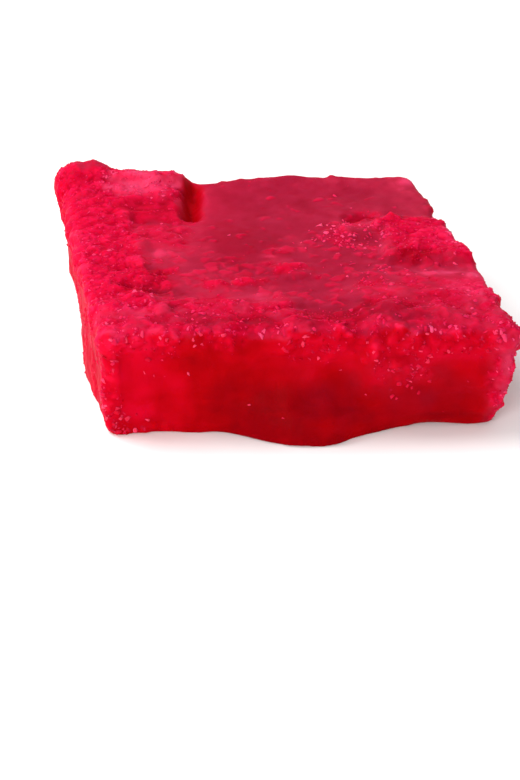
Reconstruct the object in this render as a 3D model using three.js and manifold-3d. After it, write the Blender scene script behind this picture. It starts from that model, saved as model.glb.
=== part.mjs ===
// A square of red sugar candy: a slab of set, translucent sugar, cut by hand a little on the skew.
// Its top is a smooth dried film, broken by patches of raised, knobbly sugar crust. The four cut sides
// are rougher, the edges are rounded and chipped, and crumbs of sugar are stuck along them.
//
// Millimetres, +Z up. The long cut side that is seen best faces -Y. The slab is first laid out square,
// about the middle of its plan with its underside near z = 0, and is then skewed. At the end it is
// moved so that the origin is under the middle of its bounding box, on the face that it rests on.
import * as THREE from "three";
import { ImprovedNoise } from "three/addons/math/ImprovedNoise.js";
import { mergeVertices } from "three/addons/utils/BufferGeometryUtils.js";
import Module from "manifold-3d";

// ---- Driving dimensions -------------------------------------------------------------------------

const WIDTH = 48.2; // along the front edge
const DEPTH = 45.8; // from the front side to the back side
const THICKNESS = 13.6; // from the resting face to the smooth film on top
const LEAN = 7.6; // how far the back edge lies to the left of the front edge

const EDGE_RADIUS = 1.4; // rounding of all edges, on average
const SAG_BELOW = 0.8; // what the rough slab hangs below z = 0, where it is cut flat to rest

const GRID = { x: 44, y: 42, z: 12 }; // cells of the slab's skin along each side
const EDGE_CROWDING = 0.3; // 0 spaces the cells evenly, more crowds them towards the edges

const HALF_X = WIDTH / 2;
const HALF_Y = DEPTH / 2;
const FRONT = -HALF_Y;
const BACK = HALF_Y;
const LEFT = -HALF_X;
const RIGHT = HALF_X;
const TOP = THICKNESS;

// ---- Relief, in the square layout ---------------------------------------------------------------

// Raised sugar crust. Each patch is a box with a ragged outline, and where it meets the slab's skin
// the skin is crust: at is its middle, half its half sizes, rise how far it stands over the smooth
// surface, and slope the width over which it drops to it.
const CRUSTS = {
  backLeftSlab: { at: [-16.6, 20.4, TOP], half: [8.8, 4.4, 2], rise: 0.5, slope: 0.8 },
  backLeftApron: { at: [-16.8, 16.2, TOP], half: [8.4, 6.8, 2], rise: 0.4, slope: 2.4 },
  backLeftLip: { at: [-18.0, 22.6, TOP], half: [11.4, 3.2, 4], rise: 1.1, slope: 2.4 },
  leftStrip: { at: [-20.6, -1.0, TOP], half: [4.6, 17.5, 3], rise: 0.5, slope: 1.8 },
  leftInnerKnobs: { at: [-13.5, 4.2, TOP], half: [3.6, 3.2, 3], rise: 0.35, slope: 1.4 },
  rightBand: { at: [19.4, 2.0, TOP], half: [4.8, 6.6, 3], rise: 1.0, slope: 0.8 },
  frontLeft: { at: [-12.0, -18.6, TOP], half: [12.5, 4.4, 3], rise: 0.4, slope: 1.5 },
  frontMiddle: { at: [4.0, -20.6, TOP], half: [7.0, 2.6, 3], rise: 0.35, slope: 1.2 },
  frontRight: { at: [16.5, -17.6, TOP], half: [9.5, 6.0, 3], rise: 0.5, slope: 1.5 },
  middleKnob: { at: [1.9, -6.4, TOP], half: [2.2, 1.3, 2], rise: 0.6, slope: 0.9 },
  dentRim: { at: [12.6, 4.4, TOP], half: [3.0, 2.2, 2], rise: 0.3, slope: 1.0 },
  frontBrow: { at: [1.0, FRONT, 12.2], half: [2.6, 2, 1.6], rise: 0.3, slope: 1.0 },
  frontCluster: { at: [10.4, FRONT, 8.7], half: [3.7, 2, 2.2], rise: 0.4, slope: 1.0 },
  frontLeftPost: { at: [LEFT, FRONT, 7.0], half: [1.8, 1.8, 7], rise: 0.35, slope: 0.9 },
  rightEnd: { at: [RIGHT, -17.0, 7.5], half: [2.6, 6.5, 7], rise: 0.4, slope: 1.2 },
};

// Hollows in the top, each a groove with round ends from one point to another.
const HOLLOWS = {
  notchByTheSlab: { from: [-6.4, 20.2], to: [-8.1, 11.0], width: 1.7, depth: 2.0 },
  dentAtTheBack: { from: [12.6, 9.2], to: [15.2, 9.9], width: 1.7, depth: 0.8 },
  upperLeftCrease: { from: [-20.4, -4.6], to: [-14.2, -6.0], width: 1.1, depth: 0.7 },
  lowerLeftCrease: { from: [-20.2, -9.6], to: [-15.2, -10.9], width: 1.3, depth: 1.0 },
  footOfTheBand: { from: [14.5, -6.3], to: [24.0, -6.5], width: 1.4, depth: 0.4 },
  shallowPan: { from: [2.0, 14.0], to: [2.0, 6.0], width: 8.0, depth: 0.25 },
};

// Broad swellings and undercuts. at is their middle, reach how far they are felt along x, y and z, and
// push the most that they move the surface.
const SWELLINGS = {
  frontFoot: { at: [-0.5, FRONT, 0.2], reach: [11.0, 9.0, 9.0], push: [0, -3.2, 0] },
  frontLeftHollow: { at: [-16.0, FRONT, 5.0], reach: [8.0, 3.0, 6.0], push: [0, 0.5, 0] },
  frontRightUndercut: { at: [16.0, FRONT, 0.0], reach: [9.0, 6.0, 3.4], push: [0, 0.8, 1.2] },
  frontRightKnob: { at: [RIGHT, FRONT, 12.2], reach: [3.2, 4.2, 3.6], push: [0.5, -0.2, 0.1] },
  frontRightToe: { at: [RIGHT, FRONT, 0.0], reach: [5.0, 6.0, 6.0], push: [-0.8, 0.4, 0.6] },
  backLeftCorner: { at: [LEFT, BACK, TOP], reach: [12.0, 8.0, 9.0], push: [0.7, 1.1, 0.6] },
  leftShoulder: { at: [LEFT, 2.0, TOP], reach: [4.0, 12.0, 6.0], push: [-0.5, 0, 0] },
  leftFoot: { at: [LEFT, -8.0, 0.5], reach: [4.0, 11.0, 6.0], push: [-0.8, 0, 0] },
  rightShoulder: { at: [RIGHT, -6.0, TOP], reach: [4.0, 12.0, 7.0], push: [1.4, 0, 0] },
  backRightShoulder: { at: [RIGHT, 17.0, TOP], reach: [5.0, 10.0, 8.0], push: [1.0, 0, 0.2] },
  backRightRise: { at: [14.0, BACK, TOP], reach: [20.0, 6.0, 8.0], push: [0, 0.5, 0.8] },
  rightWaist: { at: [RIGHT, 12.0, 4.0], reach: [4.0, 9.0, 6.0], push: [-0.7, 0, 0] },
  backFoot: { at: [8.0, BACK, 2.0], reach: [10.0, 6.0, 6.0], push: [0, 1.3, 0] },
  backHollow: { at: [-10.0, BACK, 3.0], reach: [8.0, 5.0, 6.0], push: [0, -1.0, 0.3] },
};

// Smooth noise: height is how strong it is, size how far its hills are apart, seed sets it off.
const EDGE_CHIPS = { height: 0.8, size: 5.5, seed: 3 }; // the rounding's growth along an edge
const BROAD_WAVES = { height: 0.4, size: 13, seed: 5 }; // the whole slab's
const SIDE_WAVES = { height: 0.4, size: 6, seed: 17 }; // the cut sides'
const RAGGED_BAYS = { height: 1.6, size: 3.6, seed: 11 }; // along the outline of a patch of crust
const RAGGED_TEETH = { height: 0.8, size: 1.7, seed: 23 };
const COARSE_KNOBS = { height: 0.8, size: 3.4, seed: 29 };
const FINE_KNOBS = { height: 0.45, size: 1.9, seed: 41 };
const MEAN_KNOB = 0.3; // taken off again, so that the knobs don't thicken the slab

// How strongly the knobs show on the smooth film, on the cut sides and on crust.
const FILM_ROUGHNESS = 0.12;
const SIDE_ROUGHNESS = 0.6;
const CRUST_ROUGHNESS = 1.3;

// Lumps of sugar stuck to the slab, in rows. Each row runs along a line, with the lumps' smallest and
// largest radius and how far they stray from the line.
const LUMP_ROWS = {
  frontTopEdge: {
    from: [LEFT, FRONT, TOP], to: [RIGHT, FRONT, TOP],
    count: 15, radius: [0.6, 1.1], stray: 0.8,
  },
  frontBottomLeft: {
    from: [LEFT, FRONT, 1], to: [LEFT + 8, FRONT, 0.6],
    count: 7, radius: [0.55, 0.95], stray: 0.4,
  },
  frontLeftCorner: {
    from: [LEFT, FRONT, 2], to: [LEFT, FRONT, 6.5],
    count: 3, radius: [0.5, 0.75], stray: 0.4,
  },
  frontRightCorner: {
    from: [RIGHT, FRONT, 2.5], to: [RIGHT, FRONT, 12.5],
    count: 5, radius: [0.6, 1.1], stray: 1.2,
  },
  frontFace: {
    from: [8, FRONT, 9], to: [14, FRONT, 8],
    count: 5, radius: [0.5, 0.9], stray: 1.4,
  },
  rightTopEdge: {
    from: [RIGHT, FRONT + 5, TOP], to: [RIGHT, BACK - 3, TOP],
    count: 7, radius: [0.5, 1.0], stray: 0.6,
  },
  leftTopEdge: {
    from: [LEFT, FRONT + 3, TOP], to: [LEFT, BACK - 11, TOP],
    count: 6, radius: [0.5, 0.9], stray: 0.6,
  },
  backTopEdge: {
    from: [-6, BACK, TOP], to: [RIGHT - 4, BACK, TOP],
    count: 5, radius: [0.45, 0.75], stray: 0.4,
  },
  backFace: {
    from: [LEFT + 2, BACK, 2], to: [RIGHT - 2, BACK, 2],
    count: 5, radius: [0.6, 1.0], stray: 2.0,
  },
};
const LUMP_SINK = 0.5; // how far a lump's middle lies under the surface, in parts of its radius
const LUMP_STRETCH = [0.8, 1.3]; // of its three widths
const LUMP_SEED = 7;

const CANDY_RED = 0xc4102c;
const CANDY_ROUGHNESS = 0.4;

// ---- Small tools --------------------------------------------------------------------------------

const perlin = new ImprovedNoise();

// Smooth noise at a point, up to about 0.7 of its height to either side of 0.
function ripple(p, { height, size, seed }) {
  return height * perlin.noise(p.x / size + seed, p.y / size - seed, p.z / size + seed / 2);
}

// Rounded knobs with sharp creases between them, from 0 to about 0.7 of their height.
function knobs(p, noise) {
  return Math.abs(ripple(p, noise));
}

// A bell of height 1 at distance 0, that reaches 0 at distance 1.
function bell(distance) {
  const rest = Math.max(0, 1 - distance * distance);
  return rest * rest;
}

function randomBetween(low, high) {
  return THREE.MathUtils.lerp(low, high, THREE.MathUtils.seededRandom());
}

// ---- The relief's height ------------------------------------------------------------------------

// 1 well inside a patch of crust, 0 well outside it, falling over its slope along a ragged outline.
function patchShare(patch, p) {
  const ragged = ripple(p, RAGGED_BAYS) + ripple(p, RAGGED_TEETH);
  const over = [p.x, p.y, p.z].map((value, i) => Math.abs(value - patch.at[i]) - patch.half[i]);
  const outside = Math.hypot(...over.map((value) => Math.max(value, 0)));
  const inside = Math.min(Math.max(...over), 0);
  return THREE.MathUtils.smoothstep(-(outside + inside + ragged), -patch.slope / 2, patch.slope / 2);
}

// How far the crust stands over the smooth surface, and how much of the surface is crust, 0 to 1.
function crustAt(p) {
  const shares = Object.values(CRUSTS).map((patch) => patchShare(patch, p));
  const rises = Object.values(CRUSTS).map((patch, i) => patch.rise * shares[i]);
  return { share: Math.max(...shares), rise: rises.reduce((sum, rise) => sum + rise, 0) };
}

// How deep the hollows are at a point of the top.
function hollowDepth(p) {
  return Object.values(HOLLOWS).reduce((sum, hollow) => {
    const start = new THREE.Vector2(...hollow.from);
    const along = new THREE.Vector2(...hollow.to).sub(start);
    const here = new THREE.Vector2(p.x, p.y).sub(start);
    const share = THREE.MathUtils.clamp(here.dot(along) / along.lengthSq(), 0, 1);
    const away = here.sub(along.multiplyScalar(share)).length();
    return sum + hollow.depth * bell(away / hollow.width);
  }, 0);
}

// How far the swellings move a point.
function swellingPush(p) {
  return Object.values(SWELLINGS).reduce((sum, { at, reach, push }) => {
    const distance = Math.hypot(...[p.x, p.y, p.z].map((value, i) => (value - at[i]) / reach[i]));
    return sum.addScaledVector(new THREE.Vector3(...push), bell(distance));
  }, new THREE.Vector3());
}

// ---- The slab's skin ----------------------------------------------------------------------------

const LOW = -SAG_BELOW;
const MIDDLE_Z = (THICKNESS + LOW) / 2;
const HALF_Z = (THICKNESS - LOW) / 2;

// Takes a point of the plain box to its place on the rounded one, and gives the way out of it there.
function roundedBox(boxPoint) {
  const radius = EDGE_RADIUS + ripple(boxPoint, EDGE_CHIPS);
  const core = new THREE.Vector3(
    THREE.MathUtils.clamp(boxPoint.x, radius - HALF_X, HALF_X - radius),
    THREE.MathUtils.clamp(boxPoint.y, radius - HALF_Y, HALF_Y - radius),
    THREE.MathUtils.clamp(boxPoint.z, radius - HALF_Z, HALF_Z - radius),
  );
  const out = boxPoint.clone().sub(core).normalize();
  const place = core.addScaledVector(out, radius);
  place.z += MIDDLE_Z;
  return { place, out };
}

// Takes a point of the plain box to its place on the finished slab, still in the square layout.
function skin(boxPoint) {
  const { place, out } = roundedBox(boxPoint);
  const upward = Math.max(0, out.z);
  const sideways = Math.hypot(out.x, out.y);
  const crust = crustAt(place);

  const waves = ripple(place, BROAD_WAVES) + sideways * ripple(place, SIDE_WAVES);
  const plainRoughness = THREE.MathUtils.lerp(FILM_ROUGHNESS, SIDE_ROUGHNESS, sideways);
  const roughness = THREE.MathUtils.lerp(plainRoughness, CRUST_ROUGHNESS, crust.share);
  const knobbly = knobs(place, COARSE_KNOBS) + knobs(place, FINE_KNOBS) - MEAN_KNOB;

  const moved = place.clone().addScaledVector(out, waves + crust.rise + roughness * knobbly);
  moved.z -= upward * hollowDepth(place);
  return moved.add(swellingPush(place));
}

// The knife went through on the skew: the further back, the further to the left.
function skewed(p) {
  return new THREE.Vector3(p.x - (LEAN * p.y) / DEPTH, p.y, p.z);
}

// Crowds evenly spaced cells towards the two ends of their side.
function crowded(value, half) {
  const even = value / half;
  return half * THREE.MathUtils.lerp(even, Math.sin((even * Math.PI) / 2), EDGE_CROWDING);
}

function slabGeometry() {
  const box = new THREE.BoxGeometry(WIDTH, DEPTH, 2 * HALF_Z, GRID.x, GRID.y, GRID.z);
  const positions = box.attributes.position;
  for (let i = 0; i < positions.count; i++) {
    const p = new THREE.Vector3().fromBufferAttribute(positions, i);
    p.set(crowded(p.x, HALF_X), crowded(p.y, HALF_Y), crowded(p.z, HALF_Z));
    const { x, y, z } = skewed(skin(p));
    positions.setXYZ(i, x, y, z);
  }
  return box;
}

// ---- Lumps --------------------------------------------------------------------------------------

// The point of the plain box that lies nearest to a point near its surface.
function ontoBox(p) {
  const local = [p.x, p.y, p.z - MIDDLE_Z];
  const half = [HALF_X, HALF_Y, HALF_Z];
  const depths = local.map((value, i) => half[i] - Math.abs(value));
  const nearest = depths.indexOf(Math.min(...depths));
  const on = local.map((value, i) => THREE.MathUtils.clamp(value, -half[i], half[i]));
  on[nearest] = Math.sign(local[nearest]) * half[nearest];
  return new THREE.Vector3(...on);
}

// An angular lump: an icosahedron, stretched and turned at random, and sunk into the slab.
function lumpGeometry(boxPoint, radius) {
  const centre = skin(boxPoint).addScaledVector(roundedBox(boxPoint).out, -LUMP_SINK * radius);
  const { x, y, z } = skewed(centre);
  const lump = new THREE.IcosahedronGeometry(radius, 0);
  lump.scale(...[1, 2, 3].map(() => randomBetween(...LUMP_STRETCH)));
  lump.rotateX(randomBetween(0, Math.PI));
  lump.rotateZ(randomBetween(0, Math.PI));
  return lump.translate(x, y, z);
}

function lumpGeometries() {
  THREE.MathUtils.seededRandom(LUMP_SEED);
  const lumps = [];
  for (const { from, to, count, radius, stray } of Object.values(LUMP_ROWS)) {
    for (let i = 0; i < count; i++) {
      const along = (i + randomBetween(0, 1)) / count;
      const p = new THREE.Vector3(...from).lerp(new THREE.Vector3(...to), along);
      p.x += randomBetween(-stray, stray);
      p.y += randomBetween(-stray, stray);
      p.z += randomBetween(-stray, stray);
      lumps.push(lumpGeometry(ontoBox(p), randomBetween(...radius)));
    }
  }
  return lumps;
}

// ---- Joining and cutting ------------------------------------------------------------------------

const MERGE_DISTANCE = 1e-4;

const wasm = await Module();
wasm.setup();

function solidOf(geometry) {
  const bare = geometry.clone();
  bare.deleteAttribute("normal");
  bare.deleteAttribute("uv");
  const merged = mergeVertices(bare, MERGE_DISTANCE);
  const mesh = new wasm.Mesh({
    numProp: 3,
    vertProperties: new Float32Array(merged.attributes.position.array),
    triVerts: new Uint32Array(merged.index.array),
  });
  return new wasm.Manifold(mesh);
}

function geometryOf(solid) {
  const mesh = solid.getMesh();
  const geometry = new THREE.BufferGeometry();
  geometry.setAttribute("position", new THREE.BufferAttribute(mesh.vertProperties, 3));
  geometry.setIndex(new THREE.BufferAttribute(mesh.triVerts, 1));
  return geometry;
}

// The slab with its lumps, cut flat at z = 0.
function candyGeometry() {
  let candy = solidOf(slabGeometry());
  for (const lump of lumpGeometries()) {
    candy = candy.add(solidOf(lump));
  }
  const span = 2 * (WIDTH + DEPTH);
  const below = new THREE.BoxGeometry(span, span, span).translate(0, 0, -span / 2);
  const geometry = geometryOf(candy.subtract(solidOf(below)));
  geometry.computeVertexNormals();
  geometry.computeBoundingBox();
  return geometry;
}

const candyMaterial = new THREE.MeshStandardMaterial({
  color: CANDY_RED,
  roughness: CANDY_ROUGHNESS,
  metalness: 0,
});

const candy = new THREE.Mesh(candyGeometry(), candyMaterial);
candy.name = "sugar_candy";
const middle = candy.geometry.boundingBox.getCenter(new THREE.Vector3());
candy.position.set(-middle.x, -middle.y, 0);

const part = new THREE.Group();
part.add(candy);

export default part;
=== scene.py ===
"""A square of red sugar candy on a white floor.

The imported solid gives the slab's form. Here it gets its fine surface: sugar crust made of packed
grains, a smooth dried film, cut sides, loose grains of sugar, and the translucent red of set sugar.

Lengths are in millimetres until a mesh is finished, and metres in Blender's own objects.
"""

import math
from collections import namedtuple

import bmesh
import bpy
import numpy as np
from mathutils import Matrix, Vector, noise


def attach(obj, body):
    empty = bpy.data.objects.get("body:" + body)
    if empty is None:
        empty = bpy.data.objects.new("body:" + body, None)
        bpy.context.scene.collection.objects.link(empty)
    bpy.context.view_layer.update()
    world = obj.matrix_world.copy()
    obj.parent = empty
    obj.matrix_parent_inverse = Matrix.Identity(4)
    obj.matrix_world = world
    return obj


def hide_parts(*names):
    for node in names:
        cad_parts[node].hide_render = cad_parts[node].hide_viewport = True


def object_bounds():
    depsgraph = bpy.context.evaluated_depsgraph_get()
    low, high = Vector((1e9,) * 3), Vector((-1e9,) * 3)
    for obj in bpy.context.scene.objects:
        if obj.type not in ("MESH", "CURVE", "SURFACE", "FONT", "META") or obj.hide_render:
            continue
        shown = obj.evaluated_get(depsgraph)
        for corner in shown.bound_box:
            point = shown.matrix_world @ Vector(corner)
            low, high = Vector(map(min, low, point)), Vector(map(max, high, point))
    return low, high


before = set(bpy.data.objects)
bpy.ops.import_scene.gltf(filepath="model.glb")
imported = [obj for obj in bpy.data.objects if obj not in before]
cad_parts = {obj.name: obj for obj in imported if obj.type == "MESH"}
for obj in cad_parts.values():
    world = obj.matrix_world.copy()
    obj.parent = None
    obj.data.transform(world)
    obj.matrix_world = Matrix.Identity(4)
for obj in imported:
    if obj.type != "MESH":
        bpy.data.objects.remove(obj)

MM = 0.001
CAD_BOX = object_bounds()
NODE = "sugar_candy"

# ---- Camera, lights and floor: sizes and places -------------------------------------------------

CAMERA_TARGET = Vector((-1.361, -12.337, 0.0)) * MM
CAMERA_DISTANCE = 205.8 * MM
CAMERA_AZIMUTH = math.radians(-1.79)
CAMERA_ELEVATION = math.radians(30.0)
SENSOR = 36.0
LENS = 75.7
NEAREST_SEEN = 10 * MM

FLOOR_SIZE = 4.0  # in metres
FLOOR_WHITE = 0.94
FLOOR_ROUGHNESS = 0.9
WORLD_STRENGTH = 0.62

# Round area lights in metres: where they are, what they are aimed at, their width, and their power in
# watts.
LIGHTS = {
    "key": {"at": (-0.17, 0.06, 0.31), "aim": (0, 0, 0.01), "width": 0.20, "power": 1.05},
    "front_fill": {"at": (-0.22, -0.42, 0.16), "aim": (0, 0, 0.01), "width": 0.25, "power": 1.7},
}

# ---- The slab's layout, as the solid has it -----------------------------------------------------

DEPTH = 45.8
WIDTH = 48.2
TOP = 13.6  # the height of the smooth film
LEAN = 7.6  # how far the back edge lies to the left of the front edge
MIDDLE = (0.11, 0.10)  # where the middle of the square layout lies in the frame
FRONT = -DEPTH / 2
LEFT, RIGHT = -WIDTH / 2, WIDTH / 2

# Patches of sugar crust in the square layout: middle, half sizes, the width of their rim, and how
# fully the crust covers them.
CRUSTS = {
    "back_left_slab": ((-16.6, 20.4, TOP), (8.8, 4.4, 3), 1.6, 1.0),
    "back_left_apron": ((-16.8, 15.4, TOP), (8.0, 7.0, 3), 2.4, 0.9),
    "left_strip": ((-20.6, -1.0, TOP), (4.6, 17.5, 3), 3.0, 1.0),
    "left_inner_knobs": ((-13.2, 4.6, TOP), (3.6, 3.6, 2), 3.0, 0.7),
    "left_knolls": ((-16.2, -7.6, TOP), (3.2, 2.0, 2), 2.0, 0.9),
    "left_island": ((-8.4, -9.8, TOP), (1.7, 1.1, 2), 1.4, 0.9),
    "middle_island": ((-4.4, -9.4, TOP), (1.9, 1.0, 2), 1.4, 0.9),
    "right_band": ((20.4, 2.0, TOP), (4.8, 6.6, 3), 2.0, 1.0),
    "front_left": ((-12.5, -18.4, TOP), (12.0, 5.0, 1), 2.6, 0.95),
    "front_middle": ((3.0, -20.4, TOP), (8.0, 2.8, 1), 2.6, 0.8),
    "front_right": ((17.0, -15.6, TOP), (8.4, 6.6, 1), 3.0, 0.85),
    "middle_knob": ((1.9, -6.0, TOP), (2.3, 1.9, 2), 1.6, 0.9),
    "dent": ((14.2, 9.8, TOP), (2.0, 0.8, 2), 1.6, 0.8),
    "front_edge_left": ((-20.0, FRONT, 12.6), (4.5, 1.5, 1.6), 2.0, 0.8),
    "front_edge_middle": ((-8.0, FRONT, 13.5), (9.0, 1.5, 0.5), 1.0, 0.7),
    "front_edge_right": ((13.5, FRONT, 12.4), (10.5, 1.5, 1.5), 2.0, 0.7),
    "front_brow": ((0.5, FRONT, 11.9), (2.7, 1.5, 2.1), 3.0, 0.6),
    "front_cluster": ((10.9, FRONT, 9.4), (3.4, 1.5, 2.3), 3.5, 0.6),
    "front_left_post": ((LEFT, FRONT, 8.4), (1.4, 1.8, 5.5), 1.4, 0.8),
    "right_end": ((RIGHT, -17.0, 7.5), (2.2, 6.5, 7), 1.6, 1.0),
}

# Spots that differ from what lies round them: middle and reach in the square layout, how much paler
# they are (or deeper, below 0), how much smoother, and how fully the dried film covers the crust. Some
# of them are painted light and some painted shade, as marked.
SPOTS = {
    "slab_top": ((-13.2, 19.4, 15.4), (8.5, 5.0, 4.0), 1.35, 0.1, 0.8),
    # Painted light on the back right edge and corner.
    "light_on_the_back_right_edge": ((17.0, 23.2, TOP), (18.0, 6.0, 3.0), 0.75, 0.0, 0.0),
    "light_on_the_back_right_corner": ((23.5, 17.0, TOP), (6.0, 9.0, 4.0), 0.6, 0.0, 0.0),
    "middle_deep": ((-3.0, 2.0, TOP), (8.0, 9.0, 3.0), -0.6, 0.0, 0.0),
    "front_half_deep": ((0.0, -7.5, TOP), (13.0, 7.5, 3.0), -0.5, 0.0, 0.0),
    "slab_front": ((-13.5, 11.8, TOP), (8.0, 5.0, 4.0), -0.7, 0.6, 0.0),
    "left_edge": ((LEFT, -4.0, TOP), (3.5, 26.0, 5.0), 0.4, 0.0, 0.0),
    "left_film": ((-14.0, -0.4, TOP), (5.0, 2.6, 3.0), 0.4, 0.7, 0.8),
    "left_knolls": ((-15.5, -7.0, TOP), (5.0, 3.4, 3.0), -0.9, 0.0, 0.0),
    # Painted shade in a crease on the left.
    "shade_in_the_left_crease": ((-17.0, -11.4, TOP), (4.8, 2.2, 3.0), -1.8, 0.0, 0.0),
    "left_hollow": ((-12.9, -9.0, TOP), (1.8, 3.2, 3.0), 0.0, 0.8, 0.9),
    "front_left_edge": ((-20.0, -17.0, TOP), (7.0, 5.0, 3.0), 0.4, 0.0, 0.0),
    "middle_film": ((-4.5, -14.0, TOP), (4.4, 2.6, 3.0), 0.3, 0.7, 0.8),
    # Painted shade in the shallow dent.
    "dent": ((14.2, 9.7, TOP), (3.2, 1.8, 3.0), -1.2, 0.9, 0.0),
    "inside_the_ring": ((13.4, 3.6, TOP), (3.0, 3.4, 3.0), -0.7, 0.8, 0.7),
    "on_the_ring": ((12.0, 6.0, TOP), (5.0, 3.5, 3.0), 0.5, 0.0, 0.0),
    "middle_knob": ((1.9, -5.8, TOP), (3.0, 2.6, 3.0), 0.3, 0.3, 0.0),
    "outer_end_of_the_band": ((23.0, 1.5, TOP), (4.5, 5.0, 4.0), 1.1, 0.0, 0.0),
    # Painted shadow at the front foot of the right band of crust.
    "shadow_at_the_foot_of_the_band": ((17.6, -3.8, TOP), (6.0, 2.4, 3.0), -2.0, 0.0, 0.0),
    "strip_by_the_band": ((21.0, -7.2, TOP), (6.5, 2.2, 3.0), 0.85, 0.6, 0.9),
    "front_right_edge": ((22.5, -12.0, TOP), (5.0, 5.0, 3.0), 1.0, 0.0, 0.0),
    "front_right_film": ((12.6, -13.8, TOP), (4.5, 2.4, 3.0), 0.0, 0.7, 0.6),
    "front_deep": ((8.0, -19.0, TOP), (15.0, 5.5, 3.0), -1.2, 0.0, 0.0),
    "front_left_deep": ((-8.0, -20.6, TOP), (13.0, 3.2, 2.0), -1.0, 0.0, 0.0),
    "first_streak": ((4.5, 2.0, TOP), (0.7, 1.6, 3.0), 1.0, 0.0, 0.0),
    "second_streak": ((1.2, 0.3, TOP), (1.8, 0.7, 3.0), 0.9, 0.0, 0.0),
    "third_streak": ((-0.3, -2.0, TOP), (1.7, 0.7, 3.0), 0.9, 0.0, 0.0),
    "front_blob": ((-19.6, FRONT, 3.1), (3.2, 6.0, 1.7), 0.7, 0.0, 0.0),
    "front_lip": ((18.5, FRONT, 0.6), (4.0, 6.0, 1.8), 0.6, 0.0, 0.0),
    # Painted light coming through the upper left of the cut front.
    "light_at_the_front_top_left": ((-21.5, FRONT, 13.0), (6.5, 3.0, 3.0), 0.8, 0.0, 0.0),
    "front_top_deep": ((-11.0, FRONT, 10.8), (8.0, 3.0, 2.6), -0.4, 0.0, 0.0),
    "right_end": ((RIGHT, -20.0, 7.0), (3.0, 8.0, 9.0), 0.9, 0.0, 0.0),
}

# Knolls that stand a little over the film: middle, reach and height in the square layout.
KNOLLS = {
    "left_island": ((-8.4, -9.8), (2.2, 1.7), 0.35),
    "middle_island": ((-4.4, -9.4), (2.4, 1.6), 0.35),
    "left_knolls": ((-16.6, -7.4), (3.0, 1.8), 0.3),
    "behind_the_film": ((-12.5, 4.5), (2.2, 1.6), 0.25),
    "beside_the_notch": ((-10.0, 7.0), (1.6, 1.4), 0.2),
    "by_the_ring": ((8.1, 6.5), (0.9, 1.1), 0.3),
}

# The ring of crust round the shallow dent in the right half of the top. It is open towards the viewer.
RING_MIDDLE = np.array((12.7, 3.5))
RING_RADIUS = 3.2
RING_WIDTH = 1.5
RING_COVER = 0.75
RING_OPENING = (-RING_RADIUS - 0.5, -0.5 * RING_RADIUS)
RING_HEIGHTS = (TOP - 1.2, TOP - 0.6)

# The deep notch beside the raised slab: its two ends, how far from their line its bright walls end, and
# the heights between which they start.
NOTCH_FROM = np.array((-6.4, 20.4))
NOTCH_TO = np.array((-8.0, 11.4))
NOTCH_WALLS = (2.1, 0.75)
NOTCH_HEIGHTS = (TOP - 4, TOP - 3.5)

# The rim round the crust in which the film is still a little paler.
WIDE_RIM = 5.0

# How a spot fades: its edge is ragged outside its core, and its smoothness and film set in between two
# shares of its strength. The film of a spot comes in streaks, with a mean and a least cover.
SPOT_CORE = 0.2
SPOT_FADE = (0.1, 0.5)
STREAK_MEAN = 0.7
STREAK_LEAST = 0.15

# The cloudy part of the cut front: its middle and reach along x and z, and how cloudy it is on average.
CLOUD_MIDDLE = (10, 6.5)
CLOUD_REACH = (17, 7)
CLOUD_COVER = 0.13

# How brightly the cut front is painted, at its foot and near its top: painted light that comes through
# it, and painted shade at its foot. The least share, and what is added to it from one x to another.
GLOW_LOW = (0.03, (0.73, -5, -21), (0.36, 15, 23))
GLOW_HIGH = (0.45, (0.30, -10, 0), (0.42, -11, -21))
GLOW_LOW_PATCH = {"share": 0.22, "middle": 9, "reach": 9}
GLOW_HEIGHTS = (4.0, 12.0)  # the foot's glow ends at the first, and the top's is whole at the second
GLOW_OF_PALE = 0.35
# Painted shade in the deep notch: how much of the cut front's painted light it loses.
PAINTED_SHADE_IN_NOTCH = 0.45

# ---- Relief and tones of the surface ------------------------------------------------------------

# Layers of smooth noise: how strong each one is, how far its hills are apart, and a seed that sets it
# off. A fourth entry draws it out along the axes where it is under 1.
CRUST_OUTLINE = ((1.3, 3.4, 11), (1.2, 1.5, 23), (0.8, 0.8, 31))
RING_OUTLINE = ((1.3, 2.2, 97),)
SPOT_OUTLINE = ((0.35, 2.4, 53), (0.2, 1.0, 59))
FILM_STREAKS = ((1.0, 0.9, 77, (0.35, 1, 1)),)
FILM_MOTTLE = ((1.0, 3.6, 61), (0.7, 1.3, 67))
FILM_WAVES = ((0.06, 2.6, 83), (0.04, 0.9, 19))
FRONT_STROKES = ((0.05, 0.9, 47, (1, 1, 0.25)), (0.05, 0.8, 49, (0.25, 1, 1)))
FRONT_CLOUDS = ((0.25, 2.8, 101),)
GLOW_MOTTLE = ((0.22, 2.6, 43), (0.12, 1.7, 37, (1, 1, 0.3)), (0.12, 1.6, 41, (0.35, 1, 1.5)))
SIDE_PATCHES = ((0.7, 4.0, 57),)
CRUST_SWELLS = ((1.0, 2.4, 29),)
CRUST_HUMPS = ((0.6, 0.95, 13),)
CRUST_CREASES = ((1.0, 1.9, 17),)
CRUST_PITS = ((0.04, 0.42, 71),)
EDGE_GAPS = ((1.0, 2.0, 91),)

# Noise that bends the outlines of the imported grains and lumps.
WARP_SIZE = 1.2
WARP_SEEDS = (3, 5, 7)

# Packed grains of the crust, and its rounded lumps: their size, seed and how far they are bent. A
# lump's flank rises between two heights of its cell.
PACKED = {"size": 0.62, "seed": 3.0, "bend": 0.5}
LUMPS = {"size": 1.5, "seed": 5.0, "bend": 0.8}
LUMP_FLANK = (0.25, 0.85)
PACKED_FALL = 1.6  # how steeply a packed grain falls off from its middle
TONE_SCATTER = 7.3  # sets the numbers of neighbouring grains apart

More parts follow.
